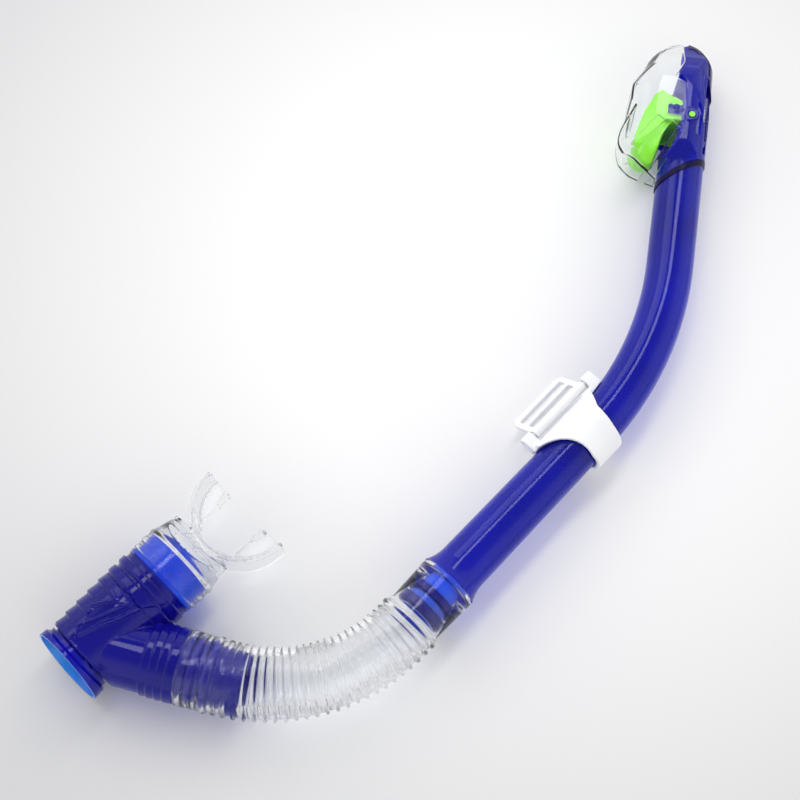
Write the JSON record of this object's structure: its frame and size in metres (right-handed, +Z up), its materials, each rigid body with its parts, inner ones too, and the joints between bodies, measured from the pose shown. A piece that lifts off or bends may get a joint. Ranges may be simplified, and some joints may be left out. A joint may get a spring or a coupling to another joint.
{
  "type": "snorkel",
  "caption": "Dry-top snorkel lying flat: bent barrel, float valve under a clear splash cover, soft ribbed hose, purge chamber, swivelling mouthpiece and a sliding strap keeper.",
  "frame": {"origin": "centre of the snorkel's footprint, on the surface that it lies on", "axes": "+Z up, square to the level plane that holds all centre lines; +Y along the longest extent, from the purge end towards the dry top; +X from the hose towards the barrel"},
  "size_m": [0.352, 0.3782, 0.0426],
  "materials": {
    "blue_plastic": "clear tinted royal blue, polished",
    "navy_plastic": "clear tinted dark blue, polished",
    "bright_blue_plastic": "solid bright blue, satin",
    "clear_plastic": "water clear, polished",
    "clear_silicone": "clear soft silicone, slightly frosted",
    "green_plastic": "solid green, satin",
    "white_plastic": "solid white, fine satin",
    "dark_trim": "dark indigo, satin",
    "dark_seal": "dark soft seal"
  },
  "bodies": {
    "barrel": {"barrel_tube": "blue_plastic", "neck_ring": "dark_seal", "dry_top_housing": "blue_plastic", "rear_dome": "blue_plastic", "dome_trim": "dark_trim", "splash_cover": "clear_plastic"},
    "float": {"float_lever": "green_plastic", "float_axle": "dark_trim", "valve_pad": "dark_seal"},
    "keeper": {"keeper_band": "white_plastic", "frame_pin": "white_plastic"},
    "strap_frame": {"strap_frame": "white_plastic"},
    "hose": {"flex_hose": "clear_silicone"},
    "chamber": {"purge_chamber": "navy_plastic", "purge_guard": "navy_plastic", "purge_seat": "navy_plastic"},
    "membrane": {"purge_membrane": "clear_silicone"},
    "mouth": {"swivel_collar": "bright_blue_plastic", "collar_seal": "dark_seal", "mouthpiece": "clear_silicone"}
  },
  "joints": [
    {"name": "float_swing", "type": "hinge", "parent": "barrel", "child": "float", "pos_m": [0.15782, 0.13362, 0.0213], "axis": [0, 0, -1], "range_deg": [0, 15.5]},
    {"name": "keeper_slide", "type": "slide", "parent": "barrel", "child": "keeper", "axis": [0.6884, 0.7254, 0], "range_m": [-0.055, 0]},
    {"name": "frame_fold", "type": "hinge", "parent": "keeper", "child": "strap_frame", "pos_m": [0.08044, -0.03156, 0.0233], "axis": [0.6884, 0.7254, 0], "range_deg": [-45, 145]},
    {"name": "hose_bend", "type": "hinge", "parent": "barrel", "child": "hose", "pos_m": [-0.01718, -0.15836, 0.0213], "axis": [0, 0, 1], "range_deg": [-25, 25], "stiffness_Nm_per_rad": 0.8, "deforming": ["flex_hose"]},
    {"name": "hose_tilt", "type": "hinge", "parent": "hose", "child": "chamber", "pos_m": [-0.06179, -0.17094, 0.0213], "axis": [0.0065, -1, 0], "range_deg": [-20, 20], "stiffness_Nm_per_rad": 1, "deforming": ["flex_hose"]},
    {"name": "purge_lift", "type": "slide", "parent": "chamber", "child": "membrane", "axis": [-0.7071, -0.7071, 0], "range_m": [0, 0.0015], "stiffness_N_per_m": 30},
    {"name": "mouth_swivel", "type": "hinge", "parent": "chamber", "child": "mouth", "pos_m": [-0.11031, -0.11124, 0.0213], "axis": [0.7071, 0.7071, 0], "continuous": true}
  ]
}
